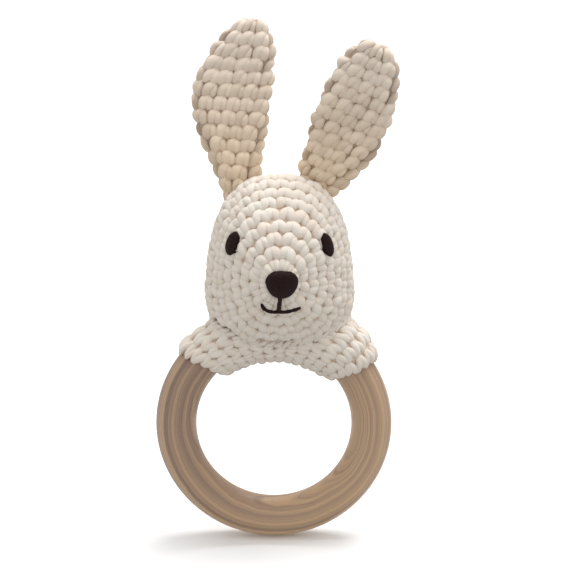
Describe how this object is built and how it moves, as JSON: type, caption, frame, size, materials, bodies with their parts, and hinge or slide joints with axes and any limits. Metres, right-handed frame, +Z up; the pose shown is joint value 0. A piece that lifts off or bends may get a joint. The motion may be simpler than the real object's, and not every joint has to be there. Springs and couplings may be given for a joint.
{
  "type": "baby rattle",
  "caption": "Baby rattle: a stuffed, crocheted rabbit head with a rattle case inside, sewn to a crocheted sleeve that wraps a wooden grip ring.",
  "frame": {"origin": "lowest point of the upright ring, in the middle of its bar", "axes": "+Z up, through the ring to the rabbit's head; the rabbit looks along -Y; +X to the right of someone facing it"},
  "size_m": [0.0713, 0.0447, 0.1555],
  "materials": {
    "ring_wood": "satin",
    "head_cotton": "matte",
    "ear_cotton": "matte",
    "sewing_yarn": "matte",
    "wadding": "matte",
    "case_plastic": "satin",
    "bead_plastic": "satin",
    "dark_thread": "satin"
  },
  "bodies": {
    "head": {"ring_sleeve": "head_cotton", "head_cover": "head_cotton", "sleeve_seam": "sewing_yarn", "neck_seam": "sewing_yarn", "head_closing_stitch": "sewing_yarn", "ear_seam_left": "sewing_yarn", "ear_seam_right": "sewing_yarn", "stuffing_front": "wadding", "stuffing_back": "wadding", "rattle_case_top": "case_plastic", "rattle_case_bottom": "case_plastic", "nose_embroidery": "dark_thread", "eye_left": "dark_thread", "eye_right": "dark_thread", "mouth_stem": "dark_thread", "mouth_left": "dark_thread", "mouth_right": "dark_thread"},
    "grip_ring": {"wooden_ring": "ring_wood"},
    "left_ear": {"ear_left": "ear_cotton"},
    "right_ear": {"ear_right": "ear_cotton"},
    "bead_1": {"rattle_bead_1": "bead_plastic"},
    "bead_2": {"rattle_bead_2": "bead_plastic"},
    "bead_3": {"rattle_bead_3": "bead_plastic"},
    "bead_4": {"rattle_bead_4": "bead_plastic"},
    "bead_5": {"rattle_bead_5": "bead_plastic"}
  },
  "joints": [
    {"name": "ear_left_flop", "type": "hinge", "parent": "head", "child": "left_ear", "pos_m": [-0.01, 0.006, 0.1063], "axis": [0.9981, 0, -0.061], "range_deg": [-45, 45], "stiffness_Nm_per_rad": 0.006},
    {"name": "ear_right_flop", "type": "hinge", "parent": "head", "child": "right_ear", "pos_m": [0.0132, 0.006, 0.1068], "axis": [0.9232, 0, -0.3843], "range_deg": [-45, 45], "stiffness_Nm_per_rad": 0.006},
    {"name": "grip_ring_turn", "type": "hinge", "parent": "head", "child": "grip_ring", "pos_m": [0, 0, 0.035], "axis": [0, 1, 0], "continuous": true},
    {"name": "rattle_bead_1_slide", "type": "slide", "parent": "head", "child": "bead_1", "axis": [0, 0, 1], "range_m": [0, 0.0166]},
    {"name": "rattle_bead_2_slide", "type": "slide", "parent": "head", "child": "bead_2", "axis": [0, 0, 1], "range_m": [0, 0.0133]},
    {"name": "rattle_bead_3_slide", "type": "slide", "parent": "head", "child": "bead_3", "axis": [0, 0, 1], "range_m": [0, 0.0133]},
    {"name": "rattle_bead_4_slide", "type": "slide", "parent": "head", "child": "bead_4", "axis": [0, 0, 1], "range_m": [0, 0.0133]},
    {"name": "rattle_bead_5_slide", "type": "slide", "parent": "head", "child": "bead_5", "axis": [0, 0, 1], "range_m": [0, 0.0133]}
  ]
}
